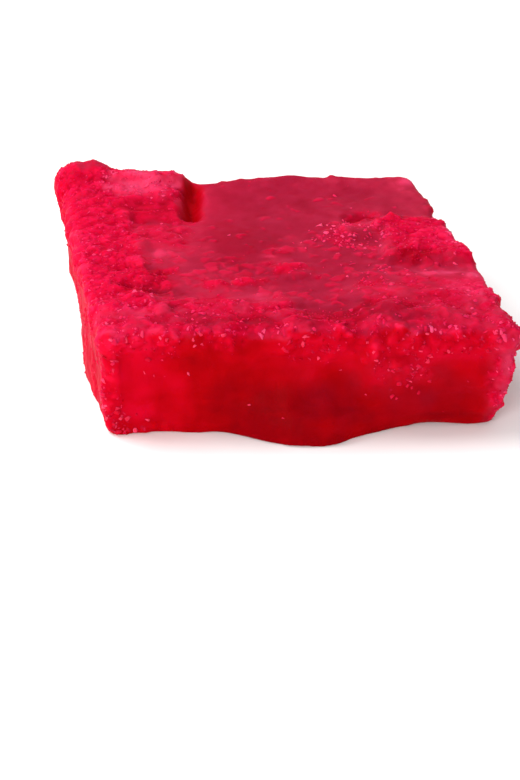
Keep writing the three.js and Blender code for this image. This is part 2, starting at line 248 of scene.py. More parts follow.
# How high each part of the crust's relief is.
CRUST_RELIEF = {"lumps": 0.12, "uneven": 0.10, "creases": 0.05, "grains": 0.07}
CREASE_WIDTH = 0.16
KNOB_HEIGHT = 0.12  # knobs are lumps that stand single on the film

# Which way a face looks: each pair is where the share starts and where it is whole, on the part of the
# face's normal that lies along one axis. The last is for faces that don't look left or right.
FACES_UP = (0.3, 0.8)
FACES_BACK = (0.25, 0.6)
FACES_FRONT = (0.5, 0.8)
FACES_NO_END = (0.9, 0.6)

# Where the sides of the slab start and are whole: the film by height, the crusted end along x, and the
# others along y. The front half's colour changes a little further on than its relief.
FILM_HEIGHTS = (TOP - 2.5, TOP - 1)
CUT_FRONT = (FRONT + 5, FRONT + 3)
CRUSTED_END = (RIGHT - 3.5, RIGHT - 1)
FRONT_HALF = (10, -4)
FRONT_HALF_COLOR = (10, -6)

# Pairs for the film's back half and front half: where its faint patches of crust and its knobs start
# in their noise, where they are whole, how strong the patches are, and what the mottle adds to the
# noise of the knobs.
FAINT_START = (0.45, 0.10)
FAINT_WHOLE = (1.2, 0.9)
FAINT_STRENGTH = (0.2, 0.5)
KNOBS_START = (0.75, 0.0)
KNOBS_WHOLE = (1.15, 0.40)
KNOBS_BY_MOTTLE = 0.5

# How rough and how clear the cut sides are apart from the front one, how much of the right end is
# crusted, how much a knob has the crust's colour, and how much of it shows through the film.
SIDE_ROUGHNESS = 0.45
SIDE_CLEARNESS = 0.6
END_CRUST = 0.8
KNOB_COLOR = 0.55
KNOB_THROUGH_FILM = 0.4

# The film's tinge of crust in its back left part: its share, and where it starts and is whole along x
# and along y.
TINGE = 0.2
TINGE_X = (3, -6)
TINGE_Y = (-6, 4)

# What makes the film and the crust paler, on a scale from 0 to 1 along their colours. The crust's hollows are
# painted deeper, as painted shade.
PACKED_TONE = 0.4
FILM_TONE = {
    "least": 0.10, "front_half": 0.08, "near_crust": 0.25, "pale": 0.6, "mottle": 0.12, "grains": 0.08,
}
CRUST_TONE = {"mean": 0.42, "pale": 0.35, "grains": 0.16, "hollow": 2.2}

# ---- Meshes -------------------------------------------------------------------------------------

VOXEL = 0.18
SMOOTHING = 0.5
SMOOTHING_ROUNDS = 20
HOLLOW_ROUNDS = 30  # how often the surface is smoothed to find its hollows
BODY_TRIANGLES = 190000
BOX_MARGIN = 0.02  # how far all pieces stay inside the solid's box

# ---- Grains of sugar ----------------------------------------------------------------------------

# Kinds of grain: how many, corners, smallest and largest size, how strongly small ones prevail, how
# deep the middle lies below the surface, in parts of the size, and the seed of their random places.
GRAINS = {
    "count": 9500, "corners": 10, "smallest": 0.34, "largest": 0.80, "prevail": 1.6, "sink": 0.30, "seed": 20,
}
CRUMBS = {
    "count": 1000, "corners": 16, "smallest": 0.45, "largest": 1.25, "prevail": 1.9, "sink": 0.30, "seed": 21,
}
GRAIN_SHAPES = 16
GRAIN_PROPORTIONS = (1.0, 0.85, 0.7)
CORNER_SPREAD = (0.8, 1.0)
PALE_GRAINS = 0.3  # how strongly the grains follow the paleness of what they lie on
SINGLE_PALER = 1.0  # how much paler the single crumbs are
LOWEST_FACING = -0.5  # no grains lie on faces that look down more than this

# How thickly the grains and crumbs lie: the grains as a power of the crust's share, and the crumbs by
# where they are. The crust holds more of them towards the front, from one y to another. Along the
# front's upper edge they spread to both sides, with gaps.
GRAINS_BY_CRUST = 1.5
CRUMB_DENSITY = {"stray": 0.006, "crust": 0.12, "front_crust": 0.5, "ring": 2.2, "front_edge": 1.8}
FRONT_CRUST = (-11, -16)
EDGE_SPREAD = 0.9
EDGE_COVER = 0.5

# Clusters of crumbs in the square layout: middle, spread, and how dense they are.
CLUSTERS = {
    "front_brow": ((0.9, FRONT, 12.0), 2.2, 1.0),
    "front_cluster": ((10.9, FRONT, 8.8), 2.8, 1.6),
    "lower_left": ((LEFT + 2.2, FRONT, 0.8), 1.5, 5.0),
    "left_foot": ((LEFT + 0.3, FRONT, 3.4), 1.0, 3.0),
    "right_corner": ((RIGHT - 1.5, FRONT, 11.5), 2.4, 1.5),
    "round_the_ring": ((10.8, 3.6, TOP), 4.4, 1.3),
    "foot_of_the_slab": ((-11.5, 15.6, TOP), 2.2, 1.2),
    "by_the_middle_knob": ((1.9, -6.4, TOP), 1.6, 0.8),
    "behind_the_front_right": ((11.5, -7.6, TOP), 4.0, 0.8),
}

# Single crumbs that stand out: where in the square layout, and their size. On the top the place is x
# and y, and on the cut front it is x and z.
TOP_CRUMBS = (
    (15.8, -7.3, 1.0), (11.5, -5.3, 0.7), (9.8, -9.8, 0.7), (8.3, -8.0, 0.7), (18.2, -18.0, 1.2),
    (15.0, -18.6, 0.8), (11.2, -17.8, 0.8), (9.0, -21.5, 0.8), (-4.5, 4.0, 1.0), (-12.3, 8.4, 0.8),
    (8.0, 6.8, 1.3), (4.4, 2.3, 0.8), (11.6, 7.4, 1.2), (13.6, 7.2, 1.0), (9.8, 5.0, 1.1),
    (10.6, 2.2, 1.1), (15.6, 5.4, 1.0), (12.4, 0.2, 1.0), (8.6, 3.6, 0.9), (14.8, 0.6, 0.9),
)
FRONT_CRUMBS = (
    (-14.2, 8.3, 0.8), (-11.3, 12.3, 0.8), (-13.2, 12.1, 0.6), (8.9, 7.2, 0.8), (12.3, 7.2, 0.8),
    (8.0, 8.0, 0.6), (12.3, 9.0, 0.7), (10.1, 5.0, 1.1), (10.7, 4.8, 0.8), (6.8, 12.3, 0.7),
    (10.5, 12.3, 0.7), (11.6, 13.0, 0.9), (13.8, 13.3, 0.7), (20.7, 11.5, 1.1), (20.5, 12.7, 0.8),
    (-23.6, 0.7, 1.4), (-22.6, 0.5, 1.5), (-21.6, 0.5, 1.3), (-20.6, 0.6, 1.1), (-19.4, 0.8, 0.9),
    (-22.0, 1.2, 1.0), (-23.2, 1.5, 1.1), (-18.0, 8.0, 0.7), (-24.1, 2.2, 1.4), (-24.3, 3.6, 1.4),
    (-24.4, 5.7, 1.5), (-24.4, 7.4, 1.1), (-6.6, 4.4, 0.8), (-19.2, 8.6, 0.6), (-16.9, 7.8, 0.6),
    (3.8, 8.6, 0.8),
)

# ---- Colours and finishes -----------------------------------------------------------------------

# Colours from the deepest to the palest: the place along the tone, and linear red, green and blue.
FILM_COLORS = (
    (0.0, (0.250, 0.0046, 0.020)),
    (0.3, (0.305, 0.0078, 0.030)),
    (0.6, (0.390, 0.0135, 0.043)),
    (0.8, (0.500, 0.0220, 0.070)),
    (1.0, (0.600, 0.0380, 0.105)),
)
CRUST_COLORS = (
    (0.0, (0.310, 0.0005, 0.009)),
    (0.3, (0.460, 0.0012, 0.020)),
    (0.6, (0.570, 0.0030, 0.036)),
    (1.0, (0.720, 0.0140, 0.075)),
)
FRONT_CRUST_COLORS = (
    (0.0, (0.330, 0.0003, 0.003)),
    (0.5, (0.500, 0.0008, 0.012)),
    (1.0, (0.660, 0.0050, 0.038)),
)
# The cut front's colours, along its painted light and painted shade.
CLEAR_COLORS = (
    (0.0, (0.225, 0.0004, 0.0026)),
    (0.35, (0.335, 0.0004, 0.0026)),
    (0.6, (0.420, 0.0005, 0.0050)),
    (0.8, (0.480, 0.0008, 0.0100)),
    (1.0, (0.550, 0.0014, 0.0190)),
)
GRAIN_COLORS = (
    (0.0, (0.48, 0.0014, 0.020)),
    (0.5, (0.56, 0.0032, 0.036)),
    (0.85, (0.68, 0.0110, 0.064)),
    (1.0, (0.84, 0.0350, 0.120)),
)
FRONT_GRAIN_COLORS = (
    (0.0, (0.38, 0.0004, 0.006)),
    (0.5, (0.48, 0.0010, 0.014)),
    (0.85, (0.62, 0.0050, 0.036)),
    (1.0, (0.78, 0.0180, 0.070)),
)
CRUMB_COLORS = (
    (0.0, (0.55, 0.0050, 0.042)),
    (0.6, (0.69, 0.0150, 0.078)),
    (1.0, (0.92, 0.0600, 0.160)),
)
FRONT_CRUMB_COLORS = (
    (0.0, (0.44, 0.0015, 0.014)),
    (0.6, (0.58, 0.0070, 0.034)),
    (1.0, (0.84, 0.0400, 0.095)),
)

# Mottling that is finer than the mesh, as noise that shifts a tone.
FILM_SPECKLES = {"size": 2.0, "detail": 4, "strength": 0.7, "shift": -0.25}
CLEAR_SPECKLES = {"size": 0.9, "detail": 3, "strength": 0.14, "shift": -0.07}

# The finish of the set sugar and of its grains: gloss, how much of the light scatters inside, how far
# the red light gets there, and the size and height of the finest bumps.
BODY_FINISH = {
    "roughness": 0.4, "specular": 0.006, "scattered": 0.7, "reach": 2.5,
    "bump_size": 0.25, "bump_height": 0.02,
}
GRAIN_FINISH = {
    "roughness": 0.35, "specular": 0.02, "scattered": 0.5, "reach": 1.0,
    "bump_size": 0.12, "bump_height": 0.01,
}
REACH_OF_COLORS = (1.0, 0.05, 0.08)  # how far red, green and blue get, as parts of the reach
BUMP_DETAIL = 2


# ---- Making the camera, the lights and the floor ------------------------------------------------

def look_at(obj, position, target):
    obj.location = position
    obj.rotation_euler = (Vector(target) - Vector(position)).to_track_quat("-Z", "Y").to_euler()


def add_to_scene(name, data):
    obj = bpy.data.objects.new(name, data)
    bpy.context.scene.collection.objects.link(obj)
    return obj


def make_camera():
    data = bpy.data.cameras.new("camera")
    data.sensor_width = SENSOR
    data.lens = LENS
    data.clip_start = NEAREST_SEEN
    back = Vector((
        math.sin(CAMERA_AZIMUTH) * math.cos(CAMERA_ELEVATION),
        -math.cos(CAMERA_AZIMUTH) * math.cos(CAMERA_ELEVATION),
        math.sin(CAMERA_ELEVATION),
    ))
    camera = add_to_scene("camera", data)
    look_at(camera, CAMERA_TARGET + back * CAMERA_DISTANCE, CAMERA_TARGET)
    bpy.context.scene.camera = camera


def make_lights():
    for name, light in LIGHTS.items():
        data = bpy.data.lights.new(name, "AREA")
        data.shape = "DISK"
        data.size = light["width"]
        data.energy = light["power"]
        look_at(add_to_scene(name, data), light["at"], light["aim"])
    world = bpy.data.worlds.new("world")
    world.use_nodes = True
    background = world.node_tree.nodes["Background"]
    background.inputs["Color"].default_value = (1, 1, 1, 1)
    background.inputs["Strength"].default_value = WORLD_STRENGTH
    bpy.context.scene.world = world
    bpy.context.scene.view_settings.view_transform = "Standard"


def make_floor():
    material = bpy.data.materials.new("floor_white")
    material.use_nodes = True
    shader = material.node_tree.nodes["Principled BSDF"]
    shader.inputs["Base Color"].default_value = (FLOOR_WHITE, FLOOR_WHITE, FLOOR_WHITE, 1)
    shader.inputs["Roughness"].default_value = FLOOR_ROUGHNESS
    shader.inputs["Specular IOR Level"].default_value = 0.0
    half = FLOOR_SIZE / 2
    corners = [(-half, -half, 0), (half, -half, 0), (half, half, 0), (-half, half, 0)]
    data = bpy.data.meshes.new("floor")
    data.from_pydata(corners, [], [(0, 1, 2, 3)])
    data.materials.append(material)
    floor = add_to_scene("floor", data)


# ---- Noise and masks ----------------------------------------------------------------------------

def in_layout(points):
    """Points of the frame, moved to the square layout that the slab was skewed from."""
    x = points[:, 0] - MIDDLE[0]
    y = points[:, 1] - MIDDLE[1]
    return np.column_stack((x + LEAN * y / DEPTH, y, points[:, 2]))


def in_frame(point):
    """A point of the square layout, moved to the frame."""
    x, y, z = point
    return np.array((x - LEAN * y / DEPTH + MIDDLE[0], y + MIDDLE[1], z))


def smoothstep(value, low, high):
    """0 up to low, rising smoothly to 1 at high. It works downwards too, where high is under low."""
    t = np.clip((value - low) / (high - low), 0, 1)
    return t * t * (3 - 2 * t)


def ripple(points, size, seed):
    """Smooth noise from about -0.7 to 0.7 whose hills are about size apart."""
    scaled = points / size + np.array((seed, -seed, 0.5 * seed))
    return np.array([noise.noise(p) for p in scaled.tolist()])


def ripples(points, layers):
    """The sum of some layers of smooth noise."""
    total = 0
    for height, size, seed, *drawn_out in layers:
        places = points * np.array(drawn_out[0]) if drawn_out else points
        total = total + height * ripple(places, size, seed)
    return total


def blend(pair, share):
    """A value that goes from the first of a pair to the second as the share goes from 0 to 1."""
    first, second = pair
    return first + (second - first) * share


def packed_grains(points, size, seed):
    """A layer of packed grains: 1 at a grain's middle, 0 between grains, and a number for each grain."""
    scaled = points / size + seed
    distances = []
    tones = []
    for p in scaled.tolist():
        near, places = noise.voronoi(p)
        distances.append(near[0])
        tones.append(noise.cell(places[0] * TONE_SCATTER))
    return np.clip(1 - np.array(distances) ** 2 * PACKED_FALL, 0, 1), np.array(tones)


def bell(distance):
    """1 at distance 0, falling smoothly to 0 at distance 1."""
    return np.clip(1 - distance ** 2, 0, 1) ** 2


def spot_shares(points):
    """How much paler than its surroundings each point is, how much smoother, and how filmy. Some paler spots
    are painted light, and some deeper ones painted shade.
    """
    layout = in_layout(points)
    ragged = ripples(points, SPOT_OUTLINE)
    streaks = STREAK_MEAN + ripples(points, FILM_STREAKS)
    pale = np.zeros(len(points))
    smooth = np.zeros(len(points))
    filmy = np.zeros(len(points))
    for middle, reach, paler, smoother, filmier in SPOTS.values():
        distance = np.linalg.norm((layout - np.array(middle)) / np.array(reach), axis=1)
        share = bell(np.maximum(distance + ragged * (distance > SPOT_CORE), 0))
        pale += paler * share
        smooth = np.maximum(smooth, smoother * smoothstep(share, *SPOT_FADE))
        filmy = np.maximum(filmy, filmier * smoothstep(share, *SPOT_FADE))
    return pale, smooth, filmy * np.clip(streaks, STREAK_LEAST, 1)


def ring_share(points):
    """1 on the ring of crust round the shallow dent, and 0 away from it."""
    layout = in_layout(points)
    away = layout[:, :2] - RING_MIDDLE
    off = np.abs(np.hypot(away[:, 0], away[:, 1]) - RING_RADIUS + ripples(points, RING_OUTLINE))
    open_end = smoothstep(away[:, 1], *RING_OPENING)
    return bell(off / RING_WIDTH) * open_end * smoothstep(layout[:, 2], *RING_HEIGHTS)


def crust_shares(points):
    """How much of the surface is sugar crust, from 0 for none to 1, and the same with a wide soft rim."""
    layout = in_layout(points)
    ragged = ripples(points, CRUST_OUTLINE)
    share = RING_COVER * ring_share(points)
    near = np.zeros(len(points))
    for middle, half, rim, cover in CRUSTS.values():
        over = np.abs(layout - np.array(middle)) - np.array(half)
        outside = np.linalg.norm(np.maximum(over, 0), axis=1) + np.minimum(over.max(axis=1), 0)
        share = np.maximum(share, cover * smoothstep(-(outside + ragged), -rim / 2, rim / 2))
        near = np.maximum(near, smoothstep(-(outside + ragged), -WIDE_RIM, 0))
    return share, near


def notch_share(points):
    """1 in the notch beside the raised slab, and 0 away from it."""
    layout = in_layout(points)[:, :2]
    along = NOTCH_TO - NOTCH_FROM
    part = np.clip((layout - NOTCH_FROM) @ along / (along @ along), 0, 1)
    away = np.linalg.norm(layout - NOTCH_FROM - part[:, None] * along, axis=1)
    return smoothstep(away, *NOTCH_WALLS) * smoothstep(points[:, 2], *NOTCH_HEIGHTS)


def cloud_share(points):
    """How cloudy the cut front is: most in the right half, in soft blotches."""
    layout = in_layout(points)
    away = (layout[:, (0, 2)] - np.array(CLOUD_MIDDLE)) / np.array(CLOUD_REACH)
    share = bell(np.hypot(away[:, 0], away[:, 1]))
    return np.clip(share * (CLOUD_COVER + ripples(points, FRONT_CLOUDS)), 0, 1)


def rising(x, least, *rises):
    """The least share, and what each rise adds to it from one x to another."""
    total = least
    for share, start, end in rises:
        total = total + share * smoothstep(x, start, end)
    return total


def painted_glow_share(points, pale):
    """How brightly the cut front is painted, from 0 for its deepest part to 1: painted light that comes
    through it, and painted shade at its foot.
    """
    x, _, z = in_layout(points).T
    patch = bell((x - GLOW_LOW_PATCH["middle"]) / GLOW_LOW_PATCH["reach"])
    low = rising(x, *GLOW_LOW) + GLOW_LOW_PATCH["share"] * patch
    high = rising(x, *GLOW_HIGH)
    share = low + (high - low) * smoothstep(z, *GLOW_HEIGHTS)
    return np.clip(share + ripples(points, GLOW_MOTTLE) + GLOW_OF_PALE * pale, 0, 1)


# ---- Meshes and their values --------------------------------------------------------------------

def points_of(mesh):
    values = np.empty(len(mesh.vertices) * 3, np.float32)
    mesh.vertices.foreach_get("co", values)
    return values.reshape(-1, 3).astype(float)


def normals_of(mesh):
    values = np.empty(len(mesh.vertices) * 3, np.float32)
    mesh.vertices.foreach_get("normal", values)
    return values.reshape(-1, 3).astype(float)


def set_points(mesh, points):
    mesh.vertices.foreach_set("co", points.astype(np.float32).ravel())
    mesh.update()


def with_modifier(obj, kind, **settings):
    """Gives obj's mesh with one modifier applied."""
    modifier = obj.modifiers.new(kind.lower(), kind)
    for name, value in settings.items():
        setattr(modifier, name, value)
    evaluated = obj.evaluated_get(bpy.context.evaluated_depsgraph_get())
    mesh = bpy.data.meshes.new_from_object(evaluated)
    obj.modifiers.clear()
    obj.data = mesh


def store(mesh, name, values):
    """Keeps a value for each vertex, for the materials and the grains."""
    attribute = mesh.attributes.new(name, "FLOAT", "POINT")
    attribute.data.foreach_set("value", values.astype(np.float32))


def read(mesh, name):
    values = np.empty(len(mesh.vertices), np.float32)
    mesh.attributes[name].data.foreach_get("value", values)
    return values.astype(float)


def inside_box(points):
    """Points kept inside the solid's own box, down to the flat underside."""
    low = np.array(CAD_BOX[0]) / MM + BOX_MARGIN
    high = np.array(CAD_BOX[1]) / MM - BOX_MARGIN
    low[2] = 0
    return np.clip(points, low, high)


# ---- The slab and its relief --------------------------------------------------------------------

def knoll_height(points):
    """How far the knolls stand over the film."""
    layout = in_layout(points)
    height = np.zeros(len(points))
    for middle, reach, rise in KNOLLS.values():
        distance = np.linalg.norm((layout[:, :2] - np.array(middle)) / np.array(reach), axis=1)
        height += rise * bell(distance)
    return height


Sides = namedtuple("Sides", "up down film front cut notch front_half")


def sides_of(points, normals):
    """How much each point looks up or down, and belongs to each side of the slab, from 0 to 1."""
    y = in_layout(points)[:, 1]
    up = smoothstep(normals[:, 2], *FACES_UP)
    down = smoothstep(-normals[:, 2], *FACES_UP)
    film = up * smoothstep(points[:, 2], *FILM_HEIGHTS)
    front = (1 - film) * smoothstep(y, *CUT_FRONT) * smoothstep(np.abs(normals[:, 0]), *FACES_NO_END)
    cut = (1 - film) * (1 - down)
    return Sides(up, down, film, front, cut, notch_share(points), smoothstep(y, *FRONT_HALF))


def crust_texture(points):
    """The crust's relief in millimetres, its rounded lumps, a number for each, and its grains' tone."""
    warp = np.column_stack([ripple(points, WARP_SIZE, seed) for seed in WARP_SEEDS])
    bent = points + PACKED["bend"] * warp
    grains, grain_tone = packed_grains(bent, PACKED["size"], PACKED["seed"])
    lumps, lump_tone = packed_grains(points + LUMPS["bend"] * warp, LUMPS["size"], LUMPS["seed"])
    lumps = smoothstep(lumps, *LUMP_FLANK)
    uneven = ripples(points, CRUST_SWELLS) + ripples(bent, CRUST_HUMPS)
    creases = 1 - smoothstep(np.abs(ripples(bent, CRUST_CREASES)), 0, CREASE_WIDTH)
    height = CRUST_RELIEF["lumps"] * (lumps - 0.5) + CRUST_RELIEF["uneven"] * uneven
    height = height - CRUST_RELIEF["creases"] * creases + CRUST_RELIEF["grains"] * (grains - 0.5)
    height = height + ripples(points, CRUST_PITS)
    return height, lumps, lump_tone, PACKED_TONE * grain_tone + lump_tone * lumps


def crust_roughness(points, crust, mottle, sides):
    """How fully each point has the relief of the crust."""
    # The sides that were cut last are rougher than the front one.
    patches = SIDE_ROUGHNESS + ripples(points, SIDE_PATCHES)
    rough = np.maximum(crust, sides.cut * (1 - sides.front) * patches)
    # The dried film has faint patches of crust showing through, more of them towards the front.
    faint = smoothstep(mottle, blend(FAINT_START, sides.front_half), blend(FAINT_WHOLE, sides.front_half))
    rough = np.maximum(rough, sides.film * faint * blend(FAINT_STRENGTH, sides.front_half))
    return np.clip(rough, 0, 1) * (1 - sides.down) * (1 - sides.notch)


def film_knobs(lumps, lump_tone, mottle, sides):
    """The lumps that stand single on the film, more of them towards the front."""
    start = blend(KNOBS_START, sides.front_half)
    whole = blend(KNOBS_WHOLE, sides.front_half)
    shown = smoothstep(lump_tone + KNOBS_BY_MOTTLE * mottle, start, whole)
    return sides.film * lumps * shown * (1 - sides.notch)


def crust_color_share(points, rough, knobs, filmy, sides):
    """How much of the surface has the crust's colour, which the film hides where it covers the crust."""
    x, y, _ = in_layout(points).T
    tinge = TINGE * sides.film * smoothstep(x, *TINGE_X) * smoothstep(y, *TINGE_Y)
    share = np.maximum(np.maximum(rough, tinge), KNOB_COLOR * knobs)
    return share * (1 - filmy * (1 - KNOB_THROUGH_FILM * knobs))


def clear_share(points, sides):
    """How much of the surface has the colour of clear red sugar: the cut front, part of the other sides, and
    the notch, where the deep red is painted shade.
    """
    # The end that faces right is crusted rather than clear.
    clear_front = sides.front * (1 - END_CRUST * smoothstep(in_layout(points)[:, 0], *CRUSTED_END))
    # The notch gets the clear sugar's deep red as painted shade in its recess.
    clear = np.maximum(np.maximum(clear_front, sides.notch), SIDE_CLEARNESS * sides.cut * (1 - sides.front))
    return clear * (1 - sides.front * cloud_share(points))


def relief(points, normals):
    """How far each point is moved outwards, in millimetres, and the masks for the material."""
    sides = sides_of(points, normals)
    # The spots' paleness includes painted light and painted shade.
    pale, smooth, filmy = spot_shares(points)
    pale *= 1 - smoothstep(normals[:, 1], *FACES_BACK)
    smooth *= sides.up
    filmy *= np.maximum(sides.up, smoothstep(-normals[:, 1], *FACES_FRONT))
    crust, near = crust_shares(points)
    mottle = ripples(points, FILM_MOTTLE)
    crust_height, lumps, lump_tone, tone = crust_texture(points)
    knobs = film_knobs(lumps, lump_tone, mottle, sides)
    rough = crust_roughness(points, crust, mottle, sides)
    crust_colored = crust_color_share(points, rough, knobs, filmy, sides)
    rough = rough * (1 - smooth)
    smooth_height = ripples(points, FILM_WAVES) + sides.front * ripples(points, FRONT_STROKES)
    smooth_height = smooth_height + KNOB_HEIGHT * knobs
    height = rough * crust_height + (1 - rough) * smooth_height
    height = (height + sides.film * knoll_height(points)) * (1 - sides.down)
    return height, {
        "crust": rough,
        "near_crust": near,
        "pale": pale,
        "notch": sides.notch,
        "grains": tone,
        "mottle": mottle,
        "clear": clear_share(points, sides),
        "crust_colored": crust_colored,
    }


def film_tone(points, masks):
    """How pale the dried film is."""
    front_half = smoothstep(in_layout(points)[:, 1], *FRONT_HALF_COLOR)
    tone = FILM_TONE["least"] + FILM_TONE["front_half"] * front_half
    for name in ("near_crust", "pale", "mottle"):
        tone = tone + FILM_TONE[name] * masks[name]
    return tone + FILM_TONE["grains"] * front_half * masks["grains"]


def crust_tone_and_shade(masks, hollow):
    """How pale the crust is, with painted shade: its hollows are painted the deepest red."""
    tone = CRUST_TONE["mean"] + CRUST_TONE["pale"] * masks["pale"] + CRUST_TONE["grains"] * masks["grains"]
    return tone - CRUST_TONE["hollow"] * hollow


def fine_slab():
    """The solid again, as an even fine mesh without facets, in millimetres."""
    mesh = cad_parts[NODE].data.copy()
    mesh.materials.clear()
    body = add_to_scene("candy_body", mesh)
    set_points(mesh, points_of(mesh) / MM)
    with_modifier(body, "REMESH", mode="VOXEL", voxel_size=VOXEL)
    with_modifier(body, "SMOOTH", factor=SMOOTHING, iterations=SMOOTHING_ROUNDS)
    return body


def neighbour_mean(mesh):
    """A function that gives each vertex the mean of some values over its neighbours."""
    ends = np.empty(len(mesh.edges) * 2, np.int32)
    mesh.edges.foreach_get("vertices", ends)
    ends = ends.reshape(-1, 2)
    here = np.concatenate((ends[:, 0], ends[:, 1]))
    there = np.concatenate((ends[:, 1], ends[:, 0]))
    count = np.bincount(here, minlength=len(mesh.vertices))

    def mean(values):
        return np.column_stack([
            np.bincount(here, column[there], len(mesh.vertices)) / count for column in values.T
        ])
    return mean


def hollowness(mesh, rounds):
    """How far each vertex lies below the smoothed surface, in millimetres."""
    mean = neighbour_mean(mesh)
    points = points_of(mesh)
    smooth = points
    for _ in range(rounds):
        smooth = 0.5 * smooth + 0.5 * mean(smooth)
    return ((smooth - points) * normals_of(mesh)).sum(axis=1)


def make_body():
    """The slab with its fine relief, and what its material and its grains read at each vertex."""
    body = fine_slab()
    mesh = body.data
    points = points_of(mesh)
    normals = normals_of(mesh)
    height, masks = relief(points, normals)
    set_points(mesh, inside_box(points + normals * height[:, None]))
    for name in ("crust", "clear", "pale", "crust_colored"):
        store(mesh, name, masks[name])
    store(mesh, "film_tone", film_tone(points, masks))
    # The crust's hollows are painted darker: painted shade.
    store(mesh, "crust_tone_and_shade", crust_tone_and_shade(masks, hollowness(mesh, HOLLOW_ROUNDS)))
    # Painted light through the cut front, and painted shade at its foot and in the notch.
    store(mesh, "painted_glow", painted_glow_share(points, masks["pale"]) * (1 - PAINTED_SHADE_IN_NOTCH * masks["notch"]))
    triangles = sum(len(p.vertices) - 2 for p in mesh.polygons)
    with_modifier(body, "DECIMATE", ratio=min(1, BODY_TRIANGLES / triangles))
    body.data.shade_smooth()
    return body


# ---- Scattering the grains ----------------------------------------------------------------------

def grain_shapes(random, corner_count):
    """A few angular crystals, each a list of corners and triangles, about 1 mm across."""
    shapes = []
    for _ in range(GRAIN_SHAPES):
        shape = bmesh.new()
        for corner in random.normal(size=(corner_count, 3)):
            # Corners close to the faces of a cube make an angular crystal.
            corner = corner / np.abs(corner).max() * random.uniform(*CORNER_SPREAD)
            shape.verts.new(corner * 0.5 * GRAIN_PROPORTIONS)
        hull = bmesh.ops.convex_hull(shape, input=shape.verts)
        inside = set(hull["geom_interior"]) | set(hull["geom_unused"])
        inside = [v for v in inside if isinstance(v, bmesh.types.BMVert)]
        bmesh.ops.delete(shape, geom=inside, context="VERTS")
        bmesh.ops.triangulate(shape, faces=shape.faces)
        shape.verts.index_update()
        corners = np.array([v.co for v in shape.verts])
        faces = np.array([[v.index for v in f.verts] for f in shape.faces])
        shapes.append((corners, faces))
        shape.free()
    return shapes


def turns(random, count):
    """Random rotation matrices."""
    q = random.normal(size=(count, 4))
    w, x, y, z = (q / np.linalg.norm(q, axis=1)[:, None]).T
    return np.stack((
        1 - 2 * (y * y + z * z), 2 * (x * y - z * w), 2 * (x * z + y * w),
        2 * (x * y + z * w), 1 - 2 * (x * x + z * z), 2 * (y * z - x * w),
        2 * (x * z - y * w), 2 * (y * z + x * w), 1 - 2 * (x * x + y * y),
    ), axis=1).reshape(-1, 3, 3)


def grain_density(points, normals, crust):
    """How thickly the fine grains lie: wherever there is crust."""
    return crust ** GRAINS_BY_CRUST * (normals[:, 2] > LOWEST_FACING)


def crumb_density(points, normals, crust):
    """How thickly the larger pale crumbs lie: on crust, in clusters, and along the front's upper edge."""
    layout = in_layout(points)
    on_crust = CRUMB_DENSITY["crust"] + CRUMB_DENSITY["front_crust"] * smoothstep(layout[:, 1], *FRONT_CRUST)
    density = CRUMB_DENSITY["stray"] + crust * on_crust + CRUMB_DENSITY["ring"] * ring_share(points)
    for middle, spread, dense in CLUSTERS.values():
        distance = np.linalg.norm(layout - np.array(middle), axis=1)
        density += dense * np.exp(-(distance / spread) ** 2)
    edge = np.hypot(layout[:, 1] - FRONT, layout[:, 2] - TOP)
    along_edge = CRUMB_DENSITY["front_edge"] * np.exp(-(edge / EDGE_SPREAD) ** 2)
    density += along_edge * np.maximum(EDGE_COVER + ripples(points, EDGE_GAPS), 0)
    return density * (normals[:, 2] > LOWEST_FACING)


def colors_at(mesh, vertices):
    """How clear and how pale the body is at some of its vertices."""
    return [read(mesh, name)[vertices] for name in ("clear", "pale")]


def scattered_places(body, density_of, random, count):
    """Random places on the body, as thick as density_of says, with the way out and the colours there."""
    mesh = body.data
    mesh.calc_loop_triangles()
    corners = np.empty(len(mesh.loop_triangles) * 3, np.int32)
    mesh.loop_triangles.foreach_get("vertices", corners)
    corners = corners.reshape(-1, 3)
    points = points_of(mesh)
    normals = normals_of(mesh)
    a, b, c = (points[corners[:, i]] for i in range(3))
    area = np.linalg.norm(np.cross(b - a, c - a), axis=1) / 2
    chance = area * density_of(points, normals, read(mesh, "crust"))[corners].mean(axis=1)
    chosen = corners[random.choice(len(corners), size=count, p=chance / chance.sum())]
    share = random.dirichlet((1, 1, 1), size=count)
    place = (points[chosen] * share[:, :, None]).sum(axis=1)
    out = (normals[chosen] * share[:, :, None]).sum(axis=1)
    return [place, out, *colors_at(mesh, chosen[:, 0])]


def named_places(body, layout_points):
    """The places on the body that lie nearest to some points of the square layout."""
    mesh = body.data
    points = points_of(mesh)
    nearest = [np.argmin(np.linalg.norm(points - in_frame(p), axis=1)) for p in layout_points]
    return [points[nearest], normals_of(mesh)[nearest], *colors_at(mesh, nearest)]


def joined_grains(name, kind, random, places, sizes):
    """Angular grains at some places of the body, partly sunk in it, as one mesh."""
    place, out, clear, pale = places
    count = len(place)
    place = place - out * (kind["sink"] * sizes)[:, None]
    turn = turns(random, count)
    tone = random.random(count) + PALE_GRAINS * pale
    shape_of = random.integers(GRAIN_SHAPES, size=count)
    shapes = grain_shapes(random, kind["corners"])
    all_corners, all_faces, corner_counts = [], [], []
    start = 0
    for i in range(count):
        shape_corners, shape_faces = shapes[shape_of[i]]
        all_corners.append(shape_corners @ turn[i].T * sizes[i] + place[i])
        all_faces.append(shape_faces + start)
        corner_counts.append(len(shape_corners))
        start += len(shape_corners)
    corners = inside_box(np.concatenate(all_corners))
    data = bpy.data.meshes.new(name)
    data.from_pydata(corners.tolist(), [], np.concatenate(all_faces).tolist())
    store(data, "tone", np.repeat(tone, corner_counts))
    store(data, "clear", np.repeat(clear, corner_counts))
    data.shade_smooth()
    return add_to_scene(name, data)


